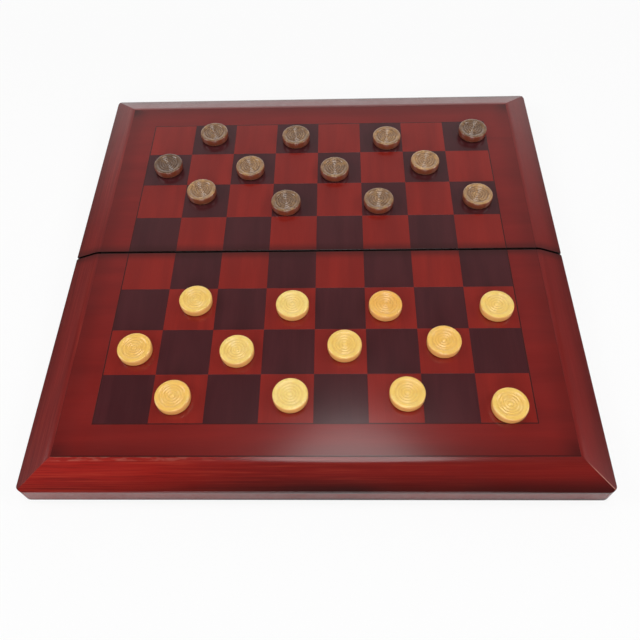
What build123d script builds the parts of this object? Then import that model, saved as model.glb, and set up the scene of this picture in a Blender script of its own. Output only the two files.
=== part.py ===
from build123d import *
from math import atan2, tan
import os

# A folding wooden game case for chess and checkers, lying open with its playing surface up.
# Millimetres. The origin is at the middle of the fold, on the plane that the rims stand on.
# +Z is up, +X is to the right and +Y points from the front half to the back half.

# Playing field
SQUARE = 38.0
COLUMNS = 8
ROWS_PER_HALF = 4
FOLD_TRIM = 1.6
BORDER = 24.2
STRINGING_WIDTH = 0.8
VENEER = 0.6

# Squares whose row and column numbers add up to an odd number are dark
DARK_PARITY = 1
RED_PARITY = 0

# Frame rails
HALF_DEPTH = 23.4
BEVEL_DROP = 7.7
BEVEL_WIDTH = 21.8
SHOULDER_EASE = 2.4
SHOULDER_LAND = 0.2
ARRIS_RADIUS = 1.2
RIM_EASE = 0.8
RIM_WIDTH = 18.0
LEDGE_WIDTH = 6.0
LEDGE_THICKNESS = 5.0
LEDGE_SPLAY = 4.0
CORNER_RADIUS = 6.0
FOLD_CORNER_RADIUS = 1.5
FOLD_GAP = 1.6
HINGE_RAIL_WIDTH = 14.0

# Panel and lining
CORE_THICKNESS = 4.4
FELT_THICKNESS = 1.2
FELT_CLEARANCE = 0.3

# Butt hinges
HINGE_LENGTH = 30.0
HINGE_SPACING = 220.0
LEAF_WIDTH = 11.0
LEAF_THICKNESS = 0.8
LEAF_SET_IN = 0.05
KNUCKLES = 3
KNUCKLE_RADIUS = 1.3
KNUCKLE_CLEARANCE = 0.15
PIN_RADIUS = 0.6
PIN_CLEARANCE = 0.05
PIN_OVERHANG = 0.3
CLOSED_GAP = 0.4
WOOD_CLEARANCE = 0.3
LEAF_CLEARANCE = 0.1

# Closing magnets in the rims
MAGNET_LENGTH = 20.0
MAGNET_WIDTH = 6.0
MAGNET_THICKNESS = 3.0
MAGNET_SPACING = 260.0
MAGNET_SET_IN = 0.15
MAGNET_CLEARANCE = 0.1

# Checkers
CHECKER_DIAMETER = 25.0
CHECKER_THICKNESS = 7.0

# How far each checker stands from the middle of its square, in rows from the back
BROWN_FIRST_ROW = 0
BROWN_OFFSETS = [
    [(0, 3), (-1, -2), (5, -5), (7, 3)],
    [(1, 1), (-2, -3), (-4, -6), (-1, 1)],
    [(-4, 7), (-7, -7), (-5, -6), (2, -2)],
]
LIGHT_FIRST_ROW = 5
LIGHT_OFFSETS = [
    [(4, 5), (2, 0), (-4, -1), (3, -2)],
    [(2, 0), (1, -2), (3, 2), (-1, 5)],
    [(-3, -1), (3, 0), (8, 1), (1, -8)],
]

# Places worked out from the sizes above
FOLD_FACE = FOLD_GAP / 2
FIELD_X = SQUARE * COLUMNS / 2
FIELD_Y = FOLD_FACE + SQUARE * ROWS_PER_HALF - FOLD_TRIM
PANEL_X = FIELD_X + BORDER
PANEL_Y = FIELD_Y + BORDER
CASE_X = PANEL_X + BEVEL_WIDTH
CASE_Y = PANEL_Y + BEVEL_WIDTH
BAND_HEIGHT = HALF_DEPTH - BEVEL_DROP
SHOULDER_FLAT = SHOULDER_EASE + SHOULDER_LAND
CORE_TOP = HALF_DEPTH - VENEER
CORE_BOTTOM = CORE_TOP - CORE_THICKNESS
LEDGE_EDGE = BEVEL_WIDTH + LEDGE_WIDTH
TRAY_X = CASE_X - LEDGE_EDGE
TRAY_Y = CASE_Y - LEDGE_EDGE
HINGE_RAIL_FACE = FOLD_FACE + HINGE_RAIL_WIDTH
AXIS_Z = -CLOSED_GAP / 2
MARGIN = 5.0


def prism(points, low, high):
    """A solid that stands on a plan outline, from one height to another."""
    outline = Plane.XY.offset(low) * make_face(Polyline(*points, close=True))
    return extrude(outline, amount=high - low)


def block(x_range, y_range, z_range):
    """A rectangular solid between three pairs of limits."""
    size = [high - low for low, high in (x_range, y_range, z_range)]
    centre = [(high + low) / 2 for low, high in (x_range, y_range, z_range)]
    return Pos(*centre) * Box(*size)


def rod(radius, x_range, y=0.0, z=0.0):
    """A round bar along X between two limits."""
    length = x_range[1] - x_range[0]
    middle = (x_range[0] + x_range[1]) / 2
    return Pos(middle, y, z) * Rot(0, 90, 0) * Cylinder(radius, length)


def nearest_corner(face, point):
    """The corner of a face nearest to a point."""
    return face.vertices().sort_by_distance(point)[0]


def on_side(shape, side):
    """A shape that was built at +Y, for the back half (+1), or mirrored for the front half (-1)."""
    return shape if side > 0 else mirror(shape, about=Plane.XZ)


def shoulder_radius():
    """The radius whose rounding reaches SHOULDER_EASE along the bevel and along the flat top."""
    slope = atan2(BEVEL_DROP, BEVEL_WIDTH - SHOULDER_FLAT)
    return SHOULDER_EASE / tan(slope / 2)


def rail_section():
    """The moulded section of a frame rail: inward distance from its outer face, and height."""
    outer_foot = (0, 0)
    arris = (0, BAND_HEIGHT)
    shoulder = (BEVEL_WIDTH - SHOULDER_FLAT, HALF_DEPTH)
    rebate_top = (BEVEL_WIDTH, HALF_DEPTH)
    rebate_foot = (BEVEL_WIDTH, CORE_BOTTOM)
    ledge_top = (LEDGE_EDGE, CORE_BOTTOM)
    ledge_foot = (LEDGE_EDGE, CORE_BOTTOM - LEDGE_THICKNESS)
    splay = (RIM_WIDTH, CORE_BOTTOM - LEDGE_THICKNESS)
    inner_foot = (RIM_WIDTH, 0)
    outline = (
        outer_foot, arris, shoulder, rebate_top, rebate_foot,
        ledge_top, ledge_foot, splay, inner_foot,
    )
    face = make_face(Polyline(*outline, close=True))
    face = fillet(nearest_corner(face, arris), ARRIS_RADIUS)
    face = fillet(nearest_corner(face, shoulder), shoulder_radius())
    face = chamfer(nearest_corner(face, outer_foot), RIM_EASE)
    face = chamfer(nearest_corner(face, inner_foot), RIM_EASE)
    return chamfer(nearest_corner(face, splay), LEDGE_SPLAY)


def half_outline():
    """The back half in plan, with its upright corners rounded."""
    corners = ((-CASE_X, FOLD_FACE), (CASE_X, FOLD_FACE), (CASE_X, CASE_Y), (-CASE_X, CASE_Y))
    face = make_face(Polyline(*corners, close=True))
    for corner in corners:
        radius = CORNER_RADIUS if corner[1] > FOLD_FACE else FOLD_CORNER_RADIUS
        face = fillet(nearest_corner(face, corner), radius)
    return extrude(face, amount=HALF_DEPTH)


def mitre_reach():
    """How far inward a mitre cut runs, past the widest part of a rail."""
    return max(LEDGE_EDGE, RIM_WIDTH) + MARGIN


def right_rail():
    """The right side rail of the back half, square at the fold and mitred at the outer corner."""
    section = Pos(CASE_X, 0) * mirror(rail_section(), about=Plane.YZ)
    bar = extrude(Plane.XZ * section, amount=-(CASE_Y + MARGIN))
    reach = mitre_reach()
    region = prism(
        (
            (CASE_X - reach, FOLD_FACE),
            (CASE_X + MARGIN, FOLD_FACE),
            (CASE_X + MARGIN, CASE_Y + MARGIN),
            (CASE_X - reach, CASE_Y - reach),
        ),
        0,
        HALF_DEPTH,
    )
    return bar & region & half_outline()


def left_rail():
    """The left side rail of the back half."""
    return mirror(right_rail(), about=Plane.YZ)


def magnet_bar(x, low, growth=0.0):
    """A bar magnet let into the middle of the outer rail's rim, or its pocket when grown."""
    half_length = MAGNET_LENGTH / 2 + growth
    half_width = MAGNET_WIDTH / 2 + growth
    y = CASE_Y - RIM_WIDTH / 2
    high = MAGNET_SET_IN + MAGNET_THICKNESS + growth
    return block((x - half_length, x + half_length), (y - half_width, y + half_width), (low, high))


def magnet_places():
    """Where the closing magnets lie along the outer rail."""
    return (-MAGNET_SPACING / 2, MAGNET_SPACING / 2)


def outer_rail():
    """The long rail opposite the fold, mitred at both ends and let in for its magnets."""
    section = Pos(CASE_Y, 0) * mirror(rail_section(), about=Plane.YZ)
    bar = extrude(Plane.YZ * section, amount=CASE_X + MARGIN, both=True)
    reach = mitre_reach()
    region = prism(
        (
            (-CASE_X - MARGIN, CASE_Y + MARGIN),
            (CASE_X + MARGIN, CASE_Y + MARGIN),
            (CASE_X - reach, CASE_Y - reach),
            (-CASE_X + reach, CASE_Y - reach),
        ),
        0,
        HALF_DEPTH,
    )
    rail = bar & region & half_outline()
    for x in magnet_places():
        rail -= magnet_bar(x, 0, growth=MAGNET_CLEARANCE)
    return rail


def magnets():
    """The bar magnets of one half."""
    return [magnet_bar(x, MAGNET_SET_IN) for x in magnet_places()]


def hinge_centres():
    """Where the two hinges lie along the fold."""
    return {"left": -HINGE_SPACING / 2, "right": HINGE_SPACING / 2}


def hinge_rail():
    """The rail under the fold edge, scribed to the side rails and let in for the hinge leaves."""
    rail = block((-CASE_X, CASE_X), (FOLD_FACE, HINGE_RAIL_FACE), (0, CORE_BOTTOM))
    side_region = block((-TRAY_X, TRAY_X), (0, CASE_Y), (0, CORE_BOTTOM))
    rim_region = block((-CASE_X + RIM_WIDTH, CASE_X - RIM_WIDTH), (0, CASE_Y), (0, CORE_BOTTOM))
    rail = (rail & (side_region + rim_region)) - right_rail() - left_rail()
    for x in hinge_centres().values():
        half = HINGE_LENGTH / 2
        seat = half + LEAF_CLEARANCE
        rail -= block(
            (x - seat, x + seat),
            (FOLD_FACE, LEAF_WIDTH + LEAF_CLEARANCE),
            (0, LEAF_SET_IN + LEAF_THICKNESS),
        )
        groove = half + PIN_OVERHANG + WOOD_CLEARANCE
        rail -= rod(KNUCKLE_RADIUS + WOOD_CLEARANCE, (x - groove, x + groove), z=AXIS_Z)
    return rail


def knuckle_range(x, index):
    """The stretch of the hinge line at x that one knuckle takes, gap included."""
    pitch = HINGE_LENGTH / KNUCKLES
    low = x - HINGE_LENGTH / 2 + index * pitch
    return low, low + pitch


def hinge_leaf(x, own, others):
    """One leaf of the hinge at x with its rolled knuckles, for the back half."""
    half = HINGE_LENGTH / 2
    leaf = block(
        (x - half, x + half),
        (KNUCKLE_RADIUS / 2, LEAF_WIDTH),
        (LEAF_SET_IN, LEAF_SET_IN + LEAF_THICKNESS),
    )
    for index in others:
        low, high = knuckle_range(x, index)
        slack = KNUCKLE_CLEARANCE
        leaf -= rod(KNUCKLE_RADIUS + slack, (low - slack, high + slack), z=AXIS_Z)
    for index in own:
        low, high = knuckle_range(x, index)
        gap_low = 0 if index == 0 else KNUCKLE_CLEARANCE / 2
        gap_high = 0 if index == KNUCKLES - 1 else KNUCKLE_CLEARANCE / 2
        leaf += rod(KNUCKLE_RADIUS, (low + gap_low, high - gap_high), z=AXIS_Z)
    return leaf - rod(PIN_RADIUS + PIN_CLEARANCE, (x - half, x + half), z=AXIS_Z)


def hinge_pin(x):
    """The pin through the knuckles, a little proud of them at each end."""
    half = HINGE_LENGTH / 2 + PIN_OVERHANG
    return rod(PIN_RADIUS, (x - half, x + half), z=AXIS_Z)


def panel_core():
    """The board under the playing surface, lying in the rails' rebates and on the hinge rail."""
    return block((-PANEL_X, PANEL_X), (FOLD_FACE, PANEL_Y), (CORE_BOTTOM, CORE_TOP))


def felt_lining():
    """The felt glued to the underside of the core, inside the ledges."""
    x = TRAY_X - FELT_CLEARANCE
    y_range = (HINGE_RAIL_FACE + FELT_CLEARANCE, TRAY_Y - FELT_CLEARANCE)
    return block((-x, x), y_range, (CORE_BOTTOM - FELT_THICKNESS, CORE_BOTTOM))


def mitred_strips(inner_x, inner_y, width):
    """Three veneer strips round a half field: right, outer and left, mitred where they meet."""
    outer_x = inner_x + width
    outer_y = inner_y + width
    right = prism(
        ((inner_x, FOLD_FACE), (outer_x, FOLD_FACE), (outer_x, outer_y), (inner_x, inner_y)),
        CORE_TOP,
        HALF_DEPTH,
    )
    outer = prism(
        ((-inner_x, inner_y), (inner_x, inner_y), (outer_x, outer_y), (-outer_x, outer_y)),
        CORE_TOP,
        HALF_DEPTH,
    )
    return [right, outer, mirror(right, about=Plane.YZ)]


def stringing():
    """The thin dark line round the field."""
    return mitred_strips(FIELD_X, FIELD_Y, STRINGING_WIDTH)


def border_veneer():
    """The flat red border between the stringing and the frame."""
    return mitred_strips(FIELD_X + STRINGING_WIDTH, FIELD_Y + STRINGING_WIDTH, BORDER - STRINGING_WIDTH)


def column_limits(column):
    """The left and right edge of a column, counted from the left."""
    left = column * SQUARE - FIELD_X
    return left, left + SQUARE


def row_limits(row):
    """The two edges of a row, counted from the back. The rows beside the fold are cut short by it."""
    side = 1 if row < ROWS_PER_HALF else -1
    from_edge = row if side > 0 else 2 * ROWS_PER_HALF - 1 - row
    outer = FIELD_Y - from_edge * SQUARE
    inner = max(outer - SQUARE, FOLD_FACE)
    return sorted((side * inner, side * outer))


def squares(side, parity):
    """The veneer squares of one colour on one half: every other square of each row."""
    first_row = 0 if side > 0 else ROWS_PER_HALF
    tiles = []
    for row in range(first_row, first_row + ROWS_PER_HALF):
        for column in range(COLUMNS):
            if (row + column) % 2 == parity:
                tiles.append(block(column_limits(column), row_limits(row), (CORE_TOP, HALF_DEPTH)))
    return tiles


def checker():
    """A turned disc, standing on its own plane."""
    return Cylinder(CHECKER_DIAMETER / 2, CHECKER_THICKNESS, align=(Align.CENTER, Align.CENTER, Align.MIN))


def checkers(first_row, offsets, parity):
    """One player's checkers, every other square, each a little off the middle of its square."""
    disc = checker()
    placed = []
    for step, row_offsets in enumerate(offsets):
        row = first_row + step
        first_column = (row + parity) % 2
        for place, (dx, dy) in enumerate(row_offsets):
            x = sum(column_limits(first_column + 2 * place)) / 2 + dx
            y = sum(row_limits(row)) / 2 + dy
            placed.append(Pos(x, y, HALF_DEPTH) * disc)
    return placed


def save(name, shape):
    """Write one node: a single solid, or a group of separate solids."""
    solids = shape if isinstance(shape, list) else [shape]
    pieces = [solid for item in solids for solid in item.solids()]
    export_step(pieces[0] if len(pieces) == 1 else Compound(children=pieces), f"parts/{name}.step")


def save_half(half, side):
    """Write the pieces of one half of the case."""
    pieces = {
        "outer_rail": outer_rail(),
        "left_rail": left_rail(),
        "right_rail": right_rail(),
        "hinge_rail": hinge_rail(),
        "panel_core": panel_core(),
        "felt_lining": felt_lining(),
    }
    groups = {
        "border_veneer": border_veneer(),
        "stringing": stringing(),
        "magnets": magnets(),
    }
    for name, piece in pieces.items():
        save(f"{half}_{name}", on_side(piece, side))
    for name, group in groups.items():
        save(f"{half}_{name}", [on_side(piece, side) for piece in group])
    save(f"{half}_dark_squares", squares(side, DARK_PARITY))
    save(f"{half}_red_squares", squares(side, RED_PARITY))


def save_hinges():
    """Write the two butt hinges: the front leaf has the end knuckles, the back leaf those between."""
    front_knuckles = range(0, KNUCKLES, 2)
    back_knuckles = range(1, KNUCKLES, 2)
    for name, x in hinge_centres().items():
        front = hinge_leaf(x, front_knuckles, back_knuckles)
        save(f"{name}_hinge_front_leaf", on_side(front, -1))
        save(f"{name}_hinge_back_leaf", hinge_leaf(x, back_knuckles, front_knuckles))
        save(f"{name}_hinge_pin", hinge_pin(x))


def main():
    os.makedirs("parts", exist_ok=True)
    save_half("front", -1)
    save_half("back", 1)
    save_hinges()
    for number, piece in enumerate(checkers(BROWN_FIRST_ROW, BROWN_OFFSETS, DARK_PARITY), start=1):
        save(f"brown_checker_{number:02d}", piece)
    for number, piece in enumerate(checkers(LIGHT_FIRST_ROW, LIGHT_OFFSETS, RED_PARITY), start=1):
        save(f"light_checker_{number:02d}", piece)


main()
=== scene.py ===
import math
import random

import bmesh
import bpy
from mathutils import Matrix, Vector


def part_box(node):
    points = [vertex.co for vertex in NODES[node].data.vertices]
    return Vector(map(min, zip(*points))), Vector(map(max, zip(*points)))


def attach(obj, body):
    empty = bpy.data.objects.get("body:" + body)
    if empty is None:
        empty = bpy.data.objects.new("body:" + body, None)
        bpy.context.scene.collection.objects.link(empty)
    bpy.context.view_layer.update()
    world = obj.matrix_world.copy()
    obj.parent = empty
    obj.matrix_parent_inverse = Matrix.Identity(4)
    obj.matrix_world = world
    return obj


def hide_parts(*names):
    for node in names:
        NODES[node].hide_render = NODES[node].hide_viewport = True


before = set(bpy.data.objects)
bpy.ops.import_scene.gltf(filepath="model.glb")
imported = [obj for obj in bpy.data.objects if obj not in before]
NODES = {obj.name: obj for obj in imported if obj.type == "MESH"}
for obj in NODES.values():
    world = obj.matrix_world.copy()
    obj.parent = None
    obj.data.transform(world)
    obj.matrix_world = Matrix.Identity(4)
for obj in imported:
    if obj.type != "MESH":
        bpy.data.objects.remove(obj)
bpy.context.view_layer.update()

MM = 0.001

# Places read from the frame, in metres
FOLD_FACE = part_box("back_panel_core")[0][1]
PANEL_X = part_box("back_panel_core")[1][0]
PANEL_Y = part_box("back_panel_core")[1][1]
CASE_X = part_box("back_right_rail")[1][0]
CASE_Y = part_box("back_outer_rail")[1][1]
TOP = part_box("back_outer_rail")[1][2]
FIELD_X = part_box("back_dark_squares")[1][0]
SQUARE = FIELD_X / 4
CHECKER_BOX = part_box("light_checker_01")
CHECKER_THICKNESS = CHECKER_BOX[1][2] - CHECKER_BOX[0][2]

# How far the bevel of the frame falls, and the height where it ends
BEVEL_DROP = 7.7 * MM
BEVEL_FOOT = TOP - BEVEL_DROP


def srgb(red, green, blue):
    """An eye-level colour, 0 to 255, as the linear colour that a shader takes."""
    def linear(level):
        level /= 255
        return level / 12.92 if level <= 0.04045 else ((level + 0.055) / 1.055) ** 2.4
    return (linear(red), linear(green), linear(blue), 1.0)


# Shader graph helpers

class Graph:
    """A node tree, with short ways to add and join nodes."""

    def __init__(self, tree):
        self.tree = tree
        self.shader = tree.nodes.get("Principled BSDF")

    def add(self, kind, **settings):
        node = self.tree.nodes.new(kind)
        for key, value in settings.items():
            setattr(node, key, value)
        return node

    def put(self, socket, value):
        """Join an output to a socket, or set the socket to a number or colour."""
        if isinstance(value, bpy.types.NodeSocket):
            self.tree.links.new(value, socket)
        else:
            socket.default_value = value

    def math(self, operation, first, second=0.0, clamp=False):
        node = self.add("ShaderNodeMath", operation=operation, use_clamp=clamp)
        self.put(node.inputs[0], first)
        self.put(node.inputs[1], second)
        return node.outputs[0]

    def position(self):
        """Object coordinates, which are frame coordinates on every piece."""
        return self.add("ShaderNodeTexCoord").outputs["Object"]

    def split(self, vector):
        node = self.add("ShaderNodeSeparateXYZ")
        self.put(node.inputs[0], vector)
        return node.outputs[0], node.outputs[1], node.outputs[2]

    def join(self, x, y, z):
        node = self.add("ShaderNodeCombineXYZ")
        for socket, value in zip(node.inputs, (x, y, z)):
            self.put(socket, value)
        return node.outputs[0]

    def scaled(self, vector, scale):
        node = self.add("ShaderNodeVectorMath", operation="MULTIPLY")
        self.put(node.inputs[0], vector)
        node.inputs[1].default_value = scale
        return node.outputs[0]

    def moved(self, vector, offset):
        node = self.add("ShaderNodeVectorMath", operation="ADD")
        self.put(node.inputs[0], vector)
        self.put(node.inputs[1], offset)
        return node.outputs[0]

    def noise(self, vector, scale=1.0, detail=2.0, roughness=0.5, distortion=0.0):
        node = self.add("ShaderNodeTexNoise")
        self.put(node.inputs["Vector"], vector)
        node.inputs["Scale"].default_value = scale
        node.inputs["Detail"].default_value = detail
        node.inputs["Roughness"].default_value = roughness
        node.inputs["Distortion"].default_value = distortion
        return node.outputs["Fac"]

    def spread(self, value, low, high, to_low=0.0, to_high=1.0):
        """A value carried from one range to another and kept inside it."""
        node = self.add("ShaderNodeMapRange", interpolation_type="SMOOTHSTEP")
        for socket, item in zip(node.inputs, (value, low, high, to_low, to_high)):
            self.put(socket, item)
        return node.outputs[0]

    def mix(self, factor, first, second, blend="MIX"):
        node = self.add("ShaderNodeMix", data_type="RGBA", blend_type=blend)
        self.put(node.inputs["Factor"], factor)
        self.put(node.inputs["A"], first)
        self.put(node.inputs["B"], second)
        return node.outputs["Result"]

    def ramp(self, factor, stops):
        node = self.add("ShaderNodeValToRGB")
        self.put(node.inputs[0], factor)
        elements = node.color_ramp.elements
        while len(elements) < len(stops):
            elements.new(1.0)
        for element, (place, colour) in zip(elements, stops):
            element.position = place
            element.color = colour
        return node.outputs["Color"]

    def bump(self, height, strength, distance):
        node = self.add("ShaderNodeBump")
        node.inputs["Strength"].default_value = strength
        node.inputs["Distance"].default_value = distance
        self.put(node.inputs["Height"], height)
        self.tree.links.new(node.outputs[0], self.shader.inputs["Normal"])

    def finish(self, colour, roughness, **constants):
        """Join the colour and roughness; the other sockets are constants set on the shader."""
        self.put(self.shader.inputs["Base Color"], colour)
        self.put(self.shader.inputs["Roughness"], roughness)
        for name, value in constants.items():
            self.shader.inputs[name.replace("_", " ")].default_value = value


def new_material(name):
    """A fresh material and the graph of its nodes."""
    material = bpy.data.materials.new(name)
    material.use_nodes = True
    return material, Graph(material.node_tree)


def grey(level):
    """A neutral colour of one linear level."""
    return (level, level, level, 1.0)


# Stain colours

RED = srgb(142, 36, 28)
RED_DEEP = srgb(126, 31, 25)
BORDER_RED = srgb(129, 32, 28)
BORDER_DEEP = srgb(115, 28, 25)
RAIL_RED = srgb(122, 28, 24)
RAIL_DEEP = srgb(110, 25, 21)
# painted light: a brighter red for the front left of the front rail's bevel
RAIL_LIT_RED = srgb(154, 34, 28)
GRAIN_PALE = srgb(172, 62, 45)
# painted highlight: the pale glint on an arris and along the front right mitre
PAINTED_GLINT = srgb(202, 140, 120)
SIDE_RED = srgb(127, 34, 31)
SIDE_DEEP = srgb(113, 30, 27)
FRAME_RED = srgb(124, 30, 26)
FRAME_DEEP = srgb(110, 26, 22)
BURST = srgb(50, 16, 15)
DARK = srgb(76, 31, 35)
DARK_DEEP = srgb(64, 25, 29)
LINE = srgb(64, 23, 22)
# painted shade: the near-black of the gap between the halves, put on the fold's cut faces
GAP_SHADE_BLACK = srgb(28, 6, 5)

# How far the stain reaches from the fold, and from the border's outer edge
FOLD_STAIN = 9 * MM
BORDER_STAIN = 18 * MM


# Wood

def fibres(graph, vector, along):
    """Fibre streaks, broad figure and pores of wood whose grain runs along x, y or z."""
    fine = {"x": (60, 1400, 1400), "y": (1400, 60, 1400), "z": (1400, 1400, 60)}[along]
    broad = {"x": (7, 60, 60), "y": (60, 7, 60), "z": (60, 60, 7)}[along]
    pore = {"x": (170, 2600, 2600), "y": (2600, 170, 2600), "z": (2600, 2600, 170)}[along]
    streak = graph.noise(graph.scaled(vector, fine), detail=3, roughness=0.6)
    figure = graph.noise(graph.scaled(vector, broad), detail=2, roughness=0.55, distortion=0.6)
    pores = graph.spread(graph.noise(graph.scaled(vector, pore), detail=1), 0.62, 0.74)
    return streak, figure, pores


def lit_corner_and_glint(graph, wood_colour, lit_red, place):
    """Painted light towards the front left corner of the case: the bevel turns a brighter red, as
    where more light falls, and its upper arris gets a broken painted pale glint.
    """
    from_corner = graph.add("ShaderNodeVectorMath", operation="DISTANCE")
    graph.put(from_corner.inputs[0], graph.position())
    from_corner.inputs[1].default_value = (-CASE_X, -CASE_Y, TOP)
    near = graph.spread(from_corner.outputs["Value"], 0.04, 0.19, 1.0, 0.0)
    _, _, z = graph.split(graph.position())
    on_bevel = graph.spread(z, BEVEL_FOOT - 1.5 * MM, BEVEL_FOOT + 0.5 * MM, 0.2, 1.0)
    # painted light: a brighter red near the front left corner
    wood_colour = graph.mix(graph.math("MULTIPLY", near, on_bevel), wood_colour, lit_red)
    # painted highlight: a broken pale glint along the upper arris near that corner
    glint_breakup = graph.spread(graph.noise(graph.scaled(place, (90, 400, 400)), detail=3), 0.45, 0.62)
    arris = graph.spread(z, TOP - 0.4 * MM, TOP - 0.2 * MM, 0.0, 0.28)
    arris = graph.math("MULTIPLY", graph.math("MULTIPLY", arris, near), glint_breakup)
    return graph.mix(arris, wood_colour, PAINTED_GLINT)


def grain_lines(graph, wood_colour, strength, place, along):
    """Drawn-out pale and dark lines, which fade from the left end of the case to the right."""
    x, _, _ = graph.split(graph.position())
    stretch = {"x": (16, 1050, 1050), "y": (1050, 16, 1050)}[along]
    lines = graph.noise(graph.scaled(place, stretch), detail=3, roughness=0.7)
    strength = graph.spread(x, -CASE_X, CASE_X, strength, strength * 0.2)
    pale = graph.math("MULTIPLY", graph.spread(lines, 0.5, 0.66), strength)
    dark = graph.math("MULTIPLY", graph.spread(lines, 0.34, 0.5, 1.0, 0.0), strength)
    return graph.mix(dark, graph.mix(pale, wood_colour, GRAIN_PALE), BURST)


def lacquered_wood(name, colour, deep, along, shade=None, offset=None, lit_red=None, grain=0.0):
    """Stained wood under clear lacquer.

    shade adds the dark stain that was sprayed along edges, and on the rails painted shade towards
    the band's foot; lit_red is a brighter red painted as light towards the front left corner, with
    a painted pale glint on its arris; and grain is the strength of the drawn-out lines."""
    material, graph = new_material(name)
    place = graph.position()
    if offset:
        place = graph.moved(place, offset(graph))
    streak, figure, pores = fibres(graph, place, along)
    streak_share = graph.math("MULTIPLY", streak, 0.25)
    tone = graph.math("ADD", streak_share, graph.math("MULTIPLY", figure, 0.75))
    wood_colour = graph.mix(graph.spread(tone, 0.3, 0.72), deep, colour)
    wood_colour = graph.mix(graph.math("MULTIPLY", pores, 0.35), wood_colour, deep)
    # painted light and a painted glint towards the front left corner
    if lit_red:
        wood_colour = lit_corner_and_glint(graph, wood_colour, lit_red, place)
    if grain:
        wood_colour = grain_lines(graph, wood_colour, grain, place, along)
    # sprayed stain, and on the rails painted shade at the band's foot and painted light at the
    # front rail's left end
    if shade:
        wood_colour = graph.mix(shade(graph), wood_colour, BURST)
    # painted highlight along the front right mitre
    if grain:
        wood_colour = graph.mix(mitre_highlight(graph), wood_colour, PAINTED_GLINT)
    # stain towards the fold, and painted shade on the fold's cut faces
    wood_colour = fold_stain_and_gap_shade(graph, wood_colour)
    wear = graph.noise(graph.position(), scale=35, detail=4, roughness=0.7)
    roughness = graph.spread(wear, 0.3, 0.7, 0.3, 0.5)
    graph.bump(graph.math("SUBTRACT", streak, graph.math("MULTIPLY", pores, 0.6)), 0.10, 0.0002)
    graph.finish(wood_colour, roughness, Specular_IOR_Level=0.06, Coat_Weight=0.92, Coat_Roughness=0.17)
    return material


def fold_stain_and_gap_shade(graph, colour):
    """Wood darkens towards the fold with stain, and its cut faces there are painted near-black:
    painted shade of the gap between the halves.
    """
    _, y, _ = graph.split(graph.position())
    distance = graph.math("SUBTRACT", graph.math("ABSOLUTE", y), FOLD_FACE)
    colour = graph.mix(graph.spread(distance, 0.0, FOLD_STAIN, 0.6, 0.0), colour, BURST)
    # painted shade: the fold's cut faces and eased edges are near-black
    return graph.mix(graph.spread(distance, 0.15 * MM, 0.55 * MM, 1.0, 0.0), colour, GAP_SHADE_BLACK)


def cloud(graph, scale, low, high):
    """Broad uneven patches, for hand-sprayed stain."""
    return graph.spread(graph.noise(graph.position(), scale=scale, detail=2), 0.25, 0.75, low, high)


def border_burst(graph):
    """Stain along the outer edge of the flat border, deepest in the corners."""
    x, y, _ = graph.split(graph.position())
    to_x = graph.math("SUBTRACT", PANEL_X, graph.math("ABSOLUTE", x))
    to_y = graph.math("SUBTRACT", PANEL_Y, graph.math("ABSOLUTE", y))
    near_x = graph.spread(to_x, 0.0, BORDER_STAIN, 1.0, 0.0)
    near_y = graph.spread(to_y, 0.0, BORDER_STAIN, 1.0, 0.0)
    shade = graph.math("MULTIPLY", graph.math("ADD", near_x, near_y), 0.3)
    in_corner = graph.math("MULTIPLY", near_x, near_y)
    shade = graph.math("ADD", shade, graph.math("MULTIPLY", in_corner, 0.2))
    shade = graph.math("MULTIPLY", shade, cloud(graph, 22, 0.75, 1.2))
    front = graph.spread(y, -PANEL_Y, -PANEL_Y + 3 * MM, 0.95, 0.4)
    seam = graph.spread(graph.math("MINIMUM", to_x, to_y), 0.4 * MM, 1.5 * MM, front, 0.0)
    return graph.math("MAXIMUM", shade, seam, clamp=True)


def bevel_burst(strength, lit_end_share=1.0):
    """Stain along the lower edge of the bevel, and painted shade on the band, darker towards its
    foot. lit_end_share is what is left of both at the left end, painted light that makes that end
    lighter.
    """
    def shade(graph):
        x, _, z = graph.split(graph.position())
        depth = graph.spread(z, BEVEL_FOOT, TOP - 2.5 * MM, strength, 0.0)
        below = graph.spread(z, BEVEL_FOOT - 3.5 * MM, BEVEL_FOOT - 0.5 * MM, 0.2, 1.0)
        depth = graph.math("MULTIPLY", depth, below)
        # painted shade: the band darkens towards its foot, where the contact shadow falls
        foot = graph.spread(z, 1.5 * MM, 8 * MM, 0.9, 0.0)
        depth = graph.math("MAXIMUM", depth, foot)
        # painted light: the front rail's stain is lighter towards its left end, where more light
        # falls
        if lit_end_share < 1.0:
            depth = graph.math("MULTIPLY", depth, graph.spread(x, -0.17, -0.03, lit_end_share, 1.0))
        return graph.math("MULTIPLY", depth, cloud(graph, 9, 0.8, 1.15), clamp=True)
    return shade


def mitre_highlight(graph):
    """A fine painted pale highlight along the hip of the front right mitre."""
    x, y, z = graph.split(graph.position())
    across = graph.math("SUBTRACT", graph.math("ADD", x, y), CASE_X - CASE_Y)
    line = graph.spread(graph.math("ABSOLUTE", across), 0.15 * MM, 0.6 * MM, 0.75, 0.0)
    line = graph.math("MULTIPLY", line, graph.spread(x, CASE_X - 20 * MM, CASE_X - 12 * MM))
    line = graph.math("MULTIPLY", line, graph.math("LESS_THAN", y, 0.0))
    return graph.math("MULTIPLY", line, graph.math("GREATER_THAN", z, BEVEL_FOOT + 0.4 * MM))


def tile_offset(graph):
    """A different place in the wood for every square."""
    cell = graph.add("ShaderNodeVectorMath", operation="SNAP")
    graph.put(cell.inputs[0], graph.position())
    cell.inputs[1].default_value = (SQUARE, SQUARE, 1.0)
    pick = graph.add("ShaderNodeTexWhiteNoise", noise_dimensions="3D")
    graph.put(pick.inputs["Vector"], cell.outputs[0])
    return graph.scaled(pick.outputs["Color"], (3.0, 3.0, 3.0))


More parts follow.
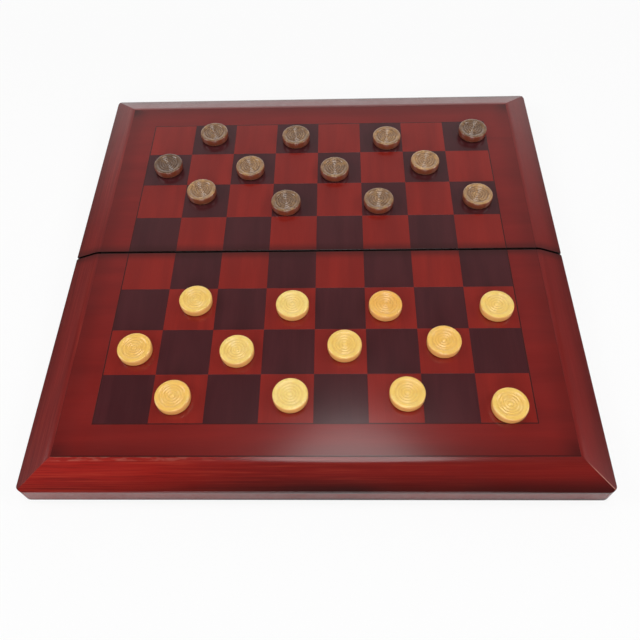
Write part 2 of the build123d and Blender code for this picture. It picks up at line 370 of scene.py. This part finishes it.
def felt_material():
    """Green felt with a little fuzz and uneven dye."""
    material, graph = new_material("green_felt")
    place = graph.position()
    fuzz = graph.noise(place, scale=900, detail=4, roughness=0.7)
    patches = graph.noise(place, scale=30, detail=3)
    colour = graph.mix(graph.spread(fuzz, 0.3, 0.7), srgb(26, 62, 38), srgb(44, 92, 58))
    colour = graph.mix(graph.math("MULTIPLY", patches, 0.3), colour, srgb(24, 56, 36))
    graph.bump(fuzz, 0.6, 0.0006)
    graph.finish(colour, 0.95, Sheen_Weight=0.4, Sheen_Roughness=0.5)
    return material


def raw_board_material():
    """The panel core: plain reddish board without lacquer."""
    material, graph = new_material("panel_board")
    streak, figure, pores = fibres(graph, graph.position(), "x")
    colour = graph.mix(graph.spread(streak, 0.3, 0.7), srgb(84, 44, 30), srgb(104, 58, 40))
    colour = graph.mix(graph.math("MULTIPLY", pores, 0.4), colour, srgb(48, 24, 18))
    # stain towards the fold, and painted gap shade on the core's cut face
    colour = fold_stain_and_gap_shade(graph, colour)
    graph.bump(streak, 0.2, 0.0003)
    graph.finish(colour, graph.spread(figure, 0.3, 0.7, 0.55, 0.75))
    return material


def brass_material():
    """Brushed brass with some tarnish."""
    material, graph = new_material("hinge_brass")
    place = graph.position()
    brushed = graph.noise(graph.scaled(place, (60, 2500, 2500)), detail=2)
    tarnish = graph.noise(place, scale=220, detail=4, roughness=0.65)
    colour = graph.mix(graph.spread(tarnish, 0.45, 0.75), srgb(214, 170, 92), srgb(150, 106, 50))
    roughness = graph.spread(tarnish, 0.3, 0.7, 0.22, 0.42)
    graph.bump(brushed, 0.08, 0.0001)
    graph.finish(colour, roughness, Metallic=1.0)
    return material


def magnet_material():
    """Scuffed nickel plating."""
    material, graph = new_material("magnet_nickel")
    scuff = graph.noise(graph.position(), scale=500, detail=4, roughness=0.7)
    colour = graph.mix(scuff, srgb(150, 150, 154), srgb(196, 196, 200))
    graph.bump(scuff, 0.1, 0.0001)
    graph.finish(colour, graph.spread(scuff, 0.3, 0.7, 0.22, 0.4), Metallic=1.0)
    return material


def checker_material(
    name, pale, middle, deep, side, fleck_and_groove_shade, recess_shade_share, fleck, gold, gold_share, coat_roughness,
):
    """Turned wood. Each piece's own attributes give its tone and the place of its grain."""
    material, graph = new_material(name)
    wood = graph.add("ShaderNodeAttribute", attribute_name="grain_place").outputs["Vector"]
    tone = graph.add("ShaderNodeAttribute", attribute_name="tone").outputs["Fac"]
    recess_shade = graph.add("ShaderNodeAttribute", attribute_name="recess_shade").outputs["Fac"]
    rim = graph.add("ShaderNodeAttribute", attribute_name="rim").outputs["Fac"]
    streak, figure, pores = fibres(graph, wood, "x")
    mottle = graph.noise(wood, scale=300, detail=4, roughness=0.65)
    patches = graph.noise(wood, scale=140, detail=2, roughness=0.6)
    streak_share = graph.math("MULTIPLY", streak, 0.25)
    level = graph.math("ADD", streak_share, graph.math("MULTIPLY", figure, 0.25))
    level = graph.math("ADD", level, graph.math("MULTIPLY", tone, 0.5), clamp=True)
    colour = graph.ramp(level, [(0.15, deep), (0.5, middle), (0.85, pale)])
    glowing = graph.math("MULTIPLY", graph.spread(patches, 0.48, 0.64), gold_share)
    glowing = graph.math("MULTIPLY", glowing, graph.spread(tone, 0.0, 1.0, 0.3, 1.0))
    colour = graph.mix(glowing, colour, gold)
    flecks = graph.math("MULTIPLY", graph.spread(mottle, 0.5, 0.66), fleck)
    colour = graph.mix(flecks, colour, fleck_and_groove_shade)
    colour = graph.mix(graph.math("MULTIPLY", pores, 0.45), colour, side)
    # painted shade: the hollows of the turned face darken with their depth
    colour = graph.mix(graph.math("MULTIPLY", recess_shade, recess_shade_share), colour, fleck_and_groove_shade)
    # on the side the side colour takes over; for the brown checkers it holds a painted red
    # reflection of the board besides the side's own darker wood
    colour = graph.mix(graph.math("MULTIPLY", rim, 0.9), colour, side)
    graph.bump(graph.math("ADD", streak, mottle), 0.25, 0.0003)
    roughness = graph.spread(mottle, 0.3, 0.7, 0.32, 0.55)
    graph.finish(
        colour, roughness, Specular_IOR_Level=0.2, Coat_Weight=1.0, Coat_Roughness=coat_roughness,
    )
    return material


# Pieces

def add_object(name, mesh, body, slot, *nodes):
    """Link a mesh as a piece that rides a body and stands for CAD nodes; the slot is not used."""
    piece = bpy.data.objects.new(name, mesh)
    bpy.context.scene.collection.objects.link(piece)
    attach(piece, body)
    if nodes:
        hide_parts(*nodes)
    return piece


def smooth(mesh, angle):
    """Smooth shading that breaks at edges sharper than an angle in degrees."""
    mesh.shade_smooth()
    mesh.set_sharp_from_angle(angle=math.radians(angle))


def weigh_normals(piece):
    """Let large faces keep their own normal beside narrow rounded edges."""
    modifier = piece.modifiers.new("weighted", "WEIGHTED_NORMAL")
    modifier.keep_sharp = True
    modifier.weight = 100


# Limits for the mesh work: what is welded, what is a sliver, what lies on a plane, what is sharp
WELD = 0.002 * MM
SLIVER = 0.0005 * MM
ON_PLANE = 0.01 * MM
SHARP_EDGE = math.radians(28)


def is_fold_edge(edge, lowest):
    """An edge that lies in its half's fold face, above a height."""
    in_face = all(abs(abs(vert.co.y) - FOLD_FACE) < ON_PLANE for vert in edge.verts)
    return in_face and min(vert.co.z for vert in edge.verts) > lowest


def round_edges(mesh, edge_radius, fold_radius):
    """Weld a CAD mesh, clear its flat faces of needless edges and round its sharp edges."""
    work = bmesh.new()
    work.from_mesh(mesh)
    bmesh.ops.remove_doubles(work, verts=work.verts, dist=WELD)
    crowded = [edge for edge in work.edges if len(edge.link_faces) > 2]
    bmesh.ops.split_edges(work, edges=crowded)
    bmesh.ops.dissolve_limit(work, angle_limit=math.radians(1), verts=work.verts, edges=work.edges)
    underside = min(vert.co.z for vert in work.verts)
    lowest = max(BEVEL_FOOT - 1 * MM, underside + 0.1 * MM)
    for radius, in_fold in ((fold_radius, True), (edge_radius, False)):
        sharp = [
            edge for edge in work.edges
            if edge.is_manifold and edge.calc_face_angle() > SHARP_EDGE
            and (is_fold_edge(edge, lowest) or not in_fold)
        ]
        if radius and sharp:
            bmesh.ops.bevel(
                work, geom=sharp, offset=radius, offset_type="OFFSET", segments=2,
                profile=0.5, affect="EDGES", clamp_overlap=True,
            )
    bmesh.ops.remove_doubles(work, verts=work.verts, dist=SLIVER)
    bmesh.ops.dissolve_degenerate(work, edges=work.edges, dist=SLIVER)
    stray = [face for face in work.faces if all(edge.is_boundary for edge in face.edges)]
    bmesh.ops.delete(work, geom=stray, context="FACES")
    work.to_mesh(mesh)
    work.free()


def dress(node, slot, body, material, edge_radius, fold_radius=0.0):
    """A piece with rounded edges in the place and shape of a CAD node."""
    mesh = NODES[node].data.copy()
    round_edges(mesh, edge_radius, fold_radius)
    mesh.materials.clear()
    mesh.materials.append(material)
    smooth(mesh, 50)
    piece = add_object(f"dressed_{node}", mesh, body, slot, node)
    weigh_normals(piece)
    return piece


def make_case():
    """Both halves of the case, dressed in lacquered wood."""
    outer_wood = {
        "front": lacquered_wood(
            "front_rail_wood", RAIL_RED, RAIL_DEEP, "x", bevel_burst(0.92, 0.4),
            lit_red=RAIL_LIT_RED, grain=0.42,
        ),
        "back": lacquered_wood("back_rail_wood", FRAME_RED, FRAME_DEEP, "x", bevel_burst(0.5)),
    }
    side_wood = lacquered_wood(
        "side_rail_wood", SIDE_RED, SIDE_DEEP, "y", bevel_burst(0.45), grain=0.22,
    )
    hinge_rail_wood = lacquered_wood("hinge_rail_wood", FRAME_RED, FRAME_DEEP, "x")
    border = lacquered_wood("border_wood", BORDER_RED, BORDER_DEEP, "x", border_burst)
    red = lacquered_wood("red_square_wood", RED, RED_DEEP, "y", offset=tile_offset)
    dark = lacquered_wood("dark_square_wood", DARK, DARK_DEEP, "y", offset=tile_offset)
    line = lacquered_wood("stringing_wood", LINE, LINE, "x")
    board = raw_board_material()
    magnet = magnet_material()
    felt = felt_material()
    for half in ("front", "back"):
        body = f"{half}_half"
        dress(f"{half}_outer_rail", "frame_wood", body, outer_wood[half], 0.45 * MM)
        dress(f"{half}_left_rail", "frame_wood", body, side_wood, 0.25 * MM, 0.25 * MM)
        dress(f"{half}_right_rail", "frame_wood", body, side_wood, 0.25 * MM, 0.25 * MM)
        dress(f"{half}_hinge_rail", "frame_wood", body, hinge_rail_wood, 0.2 * MM)
        dress(f"{half}_panel_core", "panel_core", body, board, 0.1 * MM)
        dress(f"{half}_border_veneer", "border_veneer", body, border, 0.06 * MM, 0.22 * MM)
        dress(f"{half}_stringing", "stringing", body, line, 0.03 * MM, 0.2 * MM)
        dress(f"{half}_red_squares", "red_veneer", body, red, 0.06 * MM, 0.22 * MM)
        dress(f"{half}_dark_squares", "dark_veneer", body, dark, 0.06 * MM, 0.22 * MM)
        dress(f"{half}_magnets", "magnet", body, magnet, 0.3 * MM)
        lining = dress(f"{half}_felt_lining", "felt", body, felt, 0.4 * MM)


# The screws: the leaves' face, the head's sizes and its place from the middle of the hinge
LEAF_FACE = 0.05 * MM
SCREW_RADIUS = 1.6 * MM
SCREW_SLOT = 0.4 * MM
SCREW_PROUD = 0.12 * MM
SCREW_ALONG = 9.5 * MM
SCREW_ACROSS = 7.0 * MM
SCREW_STEPS = 14
CROWN_SHARE = 0.88
CROWN_GAP = SCREW_SLOT * 0.06


def half_disc(work, angles, radius, low, high):
    """A closed half disc between two heights, a little narrower at its lower face."""
    rim = [(radius * math.cos(angle), radius * math.sin(angle)) for angle in angles]
    crown = [(x * CROWN_SHARE, y * CROWN_SHARE + math.copysign(CROWN_GAP, y)) for x, y in rim]
    lower = [work.verts.new((x, y, low)) for x, y in crown]
    upper = [work.verts.new((x, y, high)) for x, y in rim]
    work.faces.new(list(reversed(lower)))
    work.faces.new(upper)
    for index, vert in enumerate(lower):
        after = (index + 1) % len(lower)
        work.faces.new((vert, lower[after], upper[after], upper[index]))


def screw_head_mesh(name, material):
    """A slotted screw head that faces down: two closed half discs with the slot between."""
    work = bmesh.new()
    slot_angle = math.asin(SCREW_SLOT / 2 / SCREW_RADIUS)
    sweep = math.pi - 2 * slot_angle
    for start in (slot_angle, math.pi + slot_angle):
        angles = [start + sweep * step / SCREW_STEPS for step in range(SCREW_STEPS + 1)]
        half_disc(work, angles, SCREW_RADIUS, -SCREW_PROUD, 0.0)
    bmesh.ops.recalc_face_normals(work, faces=work.faces)
    mesh = bpy.data.meshes.new(name)
    work.to_mesh(mesh)
    work.free()
    mesh.materials.append(material)
    return mesh


def make_screws(brass):
    """Two screw heads in every hinge leaf, each with its slot turned its own way."""
    rng = random.Random(11)
    for side in ("left", "right"):
        for half, sign in (("front", -1), ("back", 1)):
            low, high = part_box(f"{side}_hinge_{half}_leaf")
            middle = (low[0] + high[0]) / 2
            for number, along in enumerate((-SCREW_ALONG, SCREW_ALONG), start=1):
                mesh = screw_head_mesh(f"screw_{side}_{half}_{number}", brass)
                place = (middle + along, sign * SCREW_ACROSS, LEAF_FACE)
                turn = Matrix.Rotation(rng.uniform(0, math.pi), 4, "Z")
                mesh.transform(Matrix.Translation(place) @ turn)
                add_object(f"screw_{side}_{half}_{number}", mesh, f"{half}_half", "brass")


def make_hinges():
    """Brass leaves and pins, and the screws that hold the leaves."""
    brass = brass_material()
    make_screws(brass)
    for side in ("left", "right"):
        dress(f"{side}_hinge_front_leaf", "brass", "front_half", brass, 0.12 * MM)
        dress(f"{side}_hinge_back_leaf", "brass", "back_half", brass, 0.12 * MM)
        dress(f"{side}_hinge_pin", "brass", "front_half", brass, 0.12 * MM)


# A checker's rounded edges in millimetres: radius and depth below the top, radius and height
UPPER_EDGE = [(11.5, 0.0), (11.9, 0.12), (12.3, 0.5), (12.5, 1.1)]
LOWER_EDGE = [(12.5, 2.2), (12.3, 1.2), (11.8, 0.4), (11.2, 0.0)]

# Where a checker's flat rim starts and where its side's colour starts, in millimetres
RIM_INNER = 9.3
SIDE_START = 11.9
CHECKER_STEPS = 72


def checker_profile(relief):
    """Half section of a turned checker's face inside its flat rim: radius and depth in millimetres.

    A boss in the middle, three ridges in a shallow dish, a step up to the wide flat rim.
    relief makes the turning deeper or shallower."""
    turned = [(0.0, 0.12), (0.9, 0.16), (1.4, 0.36), (1.8, 0.5)]
    for ridge in (3.0, 5.1, 7.2):
        turned += [(ridge - 0.6, 0.5), (ridge - 0.2, 0.22), (ridge + 0.2, 0.22), (ridge + 0.6, 0.5)]
    turned += [(8.7, 0.5), (9.1, 0.2)]
    return [(radius, relief * depth) for radius, depth in turned] + [(9.5, 0.0)]


def lathe(outline, steps):
    """Vertices and faces of a solid turned from a half section that starts and ends on the axis."""
    verts = []
    rings = []
    for radius, height in outline:
        count = steps if radius else 1
        rings.append(range(len(verts), len(verts) + count))
        for step in range(count):
            angle = 2 * math.pi * step / steps
            x, y = radius * MM * math.cos(angle), radius * MM * math.sin(angle)
            verts.append((x, y, height * MM))
    faces = []
    for first, second in zip(rings, rings[1:]):
        for step in range(steps):
            after = (step + 1) % steps
            corners = [first[step % len(first)], second[step % len(second)]]
            corners += [second[after % len(second)], first[after % len(first)]]
            faces.append(list(dict.fromkeys(corners)))
    return verts, faces


def share(value):
    """A value kept between 0 and 1."""
    return min(1.0, max(0.0, value))


def fill_attribute(mesh, name, values):
    """A number for every vertex, which a material reads by name."""
    mesh.attributes.new(name, "FLOAT", "POINT").data.foreach_set("value", values)


def checker_mesh(name, material, tone, relief, rng):
    """A turned disc, rounder at its foot, with its grain turned and placed at random."""
    height = CHECKER_THICKNESS / MM
    face = checker_profile(relief)
    upper = [(radius, height - depth) for radius, depth in face + UPPER_EDGE]
    mesh = bpy.data.meshes.new(name)
    verts, faces = lathe(upper + LOWER_EDGE + face[::-1], CHECKER_STEPS)
    mesh.from_pydata(verts, [], faces)
    spin = Matrix.Rotation(rng.uniform(0, math.pi), 3, "Z")
    turn = spin @ Matrix.Rotation(rng.uniform(-0.3, 0.3), 3, "Y")
    shift = Vector([rng.uniform(-1, 1) for _ in range(3)])
    places = [number for vert in mesh.vertices for number in turn @ vert.co + shift]
    mesh.attributes.new("grain_place", "FLOAT_VECTOR", "POINT").data.foreach_set("vector", places)
    # how deep each vertex lies in the turned face, for the painted shade in its hollows
    recess_shade = []
    rim = []
    for vert in mesh.vertices:
        radius = vert.co.xy.length / MM
        depth = height / 2 - abs(vert.co.z / MM - height / 2)
        recess_shade.append(share((depth / relief - 0.15) / 0.35) if radius < RIM_INNER else 0.0)
        rim.append(share((radius - SIDE_START) / 0.5))
    fill_attribute(mesh, "tone", [tone] * len(mesh.vertices))
    fill_attribute(mesh, "recess_shade", recess_shade)
    fill_attribute(mesh, "rim", rim)
    mesh.materials.append(material)
    mesh.shade_smooth()
    return mesh


# How pale each checker's wood is, in the order of its number
BROWN_TONES = (0.4, 0.4, 0.7, 0.2, 0.0, 0.6, 0.5, 1.0, 0.8, 0.3, 0.5, 0.9)
LIGHT_TONES = (0.6, 0.9, 0.0, 0.7, 0.3, 0.8, 0.5, 0.3, 0.2, 1.0, 0.5, 0.5)


def make_checkers():
    """All the checkers, each standing for its CAD node."""
    # the brown side colour is the side's own darker wood with a painted red reflection of the board
    brown = checker_material(
        "brown_checker_wood", srgb(184, 142, 98), srgb(146, 113, 84), srgb(94, 73, 60),
        side=srgb(128, 58, 37), fleck_and_groove_shade=srgb(72, 44, 32), recess_shade_share=0.28, fleck=0.25,
        gold=srgb(226, 176, 108), gold_share=0.35, coat_roughness=0.09,
    )
    light = checker_material(
        "light_checker_wood", srgb(254, 226, 134), srgb(252, 208, 106), srgb(247, 180, 82),
        side=srgb(255, 188, 110), fleck_and_groove_shade=srgb(206, 140, 74), recess_shade_share=0.16, fleck=0.14,
        gold=srgb(252, 224, 150), gold_share=0.35, coat_roughness=0.14,
    )
    rng = random.Random(7)
    camps = (("brown", brown, BROWN_TONES, 1.6), ("light", light, LIGHT_TONES, 0.9))
    for camp, material, tones, relief in camps:
        for number, tone in enumerate(tones, start=1):
            node = f"{camp}_checker_{number:02d}"
            low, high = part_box(node)
            mesh = checker_mesh(f"turned_{node}", material, tone, relief, rng)
            foot = ((low[0] + high[0]) / 2, (low[1] + high[1]) / 2, low[2])
            mesh.transform(Matrix.Translation(foot))
            body = f"{camp}_piece_{number:02d}"
            add_object(f"turned_{node}", mesh, body, f"{camp}_checker", node)


# Stage

FLOOR_SIZE = 12.0
# Shares of plain white: what the camera sees beside the case, and what the lacquer mirrors
FLOOR_WHITE = 0.88
MIRRORED_WHITE = 0.6
MIRROR_FADE = 40 * MM


def make_floor():
    """A wide white floor that keeps the object's shadow.

    It whitens away from the case, and mirrored in the lacquer it dims towards the case's foot: a
    painted contact shadow in the floor's reflection."""
    bpy.ops.mesh.primitive_plane_add(size=FLOOR_SIZE, location=(0, 0, 0))
    floor = bpy.context.object
    floor.name = "floor"
    material, graph = new_material("floor_white")
    tree = graph.tree
    path = graph.add("ShaderNodeLightPath")
    mirrored = graph.math(
        "MAXIMUM", path.outputs["Is Glossy Ray"], path.outputs["Is Transmission Ray"],
    )
    x, y, _ = graph.split(graph.position())
    beside = graph.math("SUBTRACT", graph.math("ABSOLUTE", x), CASE_X)
    before = graph.math("SUBTRACT", graph.math("ABSOLUTE", y), CASE_Y)
    away = graph.math("MAXIMUM", beside, before)
    # painted shadow: the mirrored white fades out towards the case's foot
    clear = graph.spread(away, 0.0, MIRROR_FADE, 0.0, MIRRORED_WHITE)
    far = graph.spread(away, 0.08, 0.5, FLOOR_WHITE, 1.0)
    direct = graph.math("MULTIPLY", path.outputs["Is Camera Ray"], far)
    seen = graph.math("MAXIMUM", direct, graph.math("MULTIPLY", mirrored, clear))
    white = graph.add("ShaderNodeEmission")
    white.inputs["Color"].default_value = grey(1.0)
    mixer = graph.add("ShaderNodeMixShader")
    graph.put(mixer.inputs[0], seen)
    graph.finish(grey(0.9), 0.9)
    tree.links.new(graph.shader.outputs[0], mixer.inputs[1])
    tree.links.new(white.outputs[0], mixer.inputs[2])
    tree.links.new(mixer.outputs[0], tree.nodes["Material Output"].inputs["Surface"])
    floor.data.materials.append(material)


def add_softbox(name, place, target, size, power):
    """A rectangular area light that faces a target."""
    light = bpy.data.lights.new(name, "AREA")
    light.shape = "RECTANGLE"
    light.size, light.size_y = size
    light.energy = power
    lamp = bpy.data.objects.new(name, light)
    lamp.location = place
    lamp.rotation_euler = (Vector(target) - Vector(place)).to_track_quat("-Z", "Y").to_euler()
    bpy.context.scene.collection.objects.link(lamp)
    return lamp


def make_room():
    """A pale room: bright behind the board near the horizon and dim above."""
    world = bpy.data.worlds.new("room")
    bpy.context.scene.world = world
    world.use_nodes = True
    graph = Graph(world.node_tree)
    x, y, z = graph.split(graph.add("ShaderNodeTexCoord").outputs["Generated"])
    room = graph.ramp(z, [
        (0.0, grey(1.0)), (0.35, grey(0.95)), (0.6, grey(0.31)), (0.76, grey(0.17)),
        (0.83, grey(0.08)), (0.88, grey(0.04)), (1.0, grey(0.02)),
    ])
    squares = graph.math("ADD", graph.math("MULTIPLY", x, x), graph.math("MULTIPLY", y, y))
    across = graph.math("SQRT", squares)
    behind = graph.math("DIVIDE", y, graph.math("MAXIMUM", across, 0.001))
    room = graph.math("MULTIPLY", room, graph.spread(behind, 0.62, 0.95, 0.1, 1.45))
    seen = graph.add("ShaderNodeLightPath").outputs["Is Camera Ray"]
    background = world.node_tree.nodes["Background"]
    background.inputs["Color"].default_value = grey(1.0)
    lit = graph.math("MULTIPLY", room, graph.math("SUBTRACT", 1.0, seen))
    graph.put(background.inputs["Strength"], graph.math("ADD", lit, seen))


def make_light():
    """An oval softbox overhead, soft lights at both sides and a low one in front."""
    overhead = add_softbox("overhead", (0.05, 0.01, 1.3), (0.05, 0.01, 0), (0.5, 0.85), 4.6)
    overhead.data.shape = "ELLIPSE"
    add_softbox("left_side", (-1.2, -0.1, 0.9), (0, 0, 0), (0.7, 0.7), 7.6)
    add_softbox("right_side", (1.2, -0.1, 0.9), (0, 0, 0), (0.7, 0.7), 7.0)
    add_softbox("front_fill", (0, -1.5, 0.7), (0, 0, 0), (1.0, 0.6), 11.0)


# The camera, at the photograph's view of the board
CAMERA_PLACE = (18.70 * MM, -343.18 * MM, 442.32 * MM)
CAMERA_HEADING = -3.095
CAMERA_PITCH = 56.57
CAMERA_ROLL = -2.97
CAMERA_LENS = 37.574


def make_camera():
    """A camera turned by its heading from +Y, its pitch downwards and its roll."""
    heading = math.radians(CAMERA_HEADING)
    pitch = math.radians(CAMERA_PITCH)
    roll = math.radians(CAMERA_ROLL)
    ahead = Vector((
        math.sin(heading) * math.cos(pitch), math.cos(heading) * math.cos(pitch), -math.sin(pitch),
    ))
    level = Vector((math.cos(heading), -math.sin(heading), 0.0))
    above = level.cross(ahead)
    right = math.cos(roll) * level + math.sin(roll) * above
    up = -math.sin(roll) * level + math.cos(roll) * above
    data = bpy.data.cameras.new("camera")
    data.lens = CAMERA_LENS
    data.sensor_width = 36.0
    data.clip_start = 0.01
    camera = bpy.data.objects.new("camera", data)
    rotation = Matrix((right, up, -ahead)).transposed()
    camera.matrix_world = Matrix.Translation(CAMERA_PLACE) @ rotation.to_4x4()
    bpy.context.scene.collection.objects.link(camera)
    bpy.context.scene.camera = camera


bpy.context.scene.view_settings.view_transform = "Standard"
make_camera()
make_room()
make_light()
make_floor()
make_case()
make_hinges()
make_checkers()
